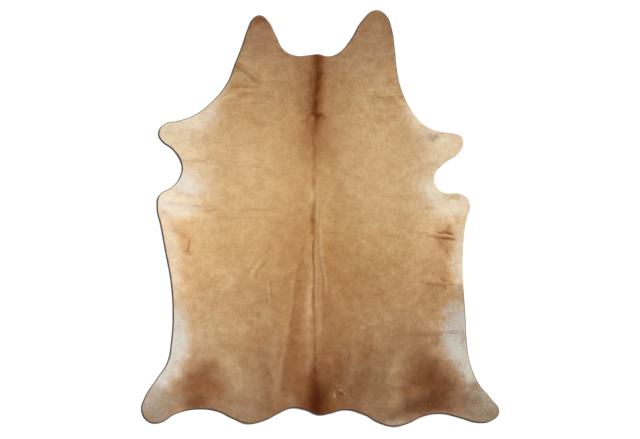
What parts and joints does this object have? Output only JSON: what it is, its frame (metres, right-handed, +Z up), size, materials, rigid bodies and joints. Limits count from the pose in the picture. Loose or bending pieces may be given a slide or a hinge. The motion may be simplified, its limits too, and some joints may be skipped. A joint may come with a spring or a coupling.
{
  "type": "hair-on cowhide rug",
  "caption": "Whole cow hide with short golden-tan hair, cut flat as a floor rug, with neck flaps, leg stubs and soft lengthwise folds.",
  "frame": {"origin": "centre of the bounding box, on the floor face under the hide", "axes": "+Y along the spine towards the neck, +X towards the right side with the hair side up and the neck away, +Z up out of the hair side"},
  "size_m": [1.831, 2.129, 0.008],
  "materials": {
    "hair_coat": "short matt hair, golden tan, darker along the spine and on the thighs, pale at the belly edges",
    "leather_skin": "pale napped flesh side and cut edge"
  },
  "bodies": {
    "root": {"hide": "hair_coat"}
  },
  "joints": []
}
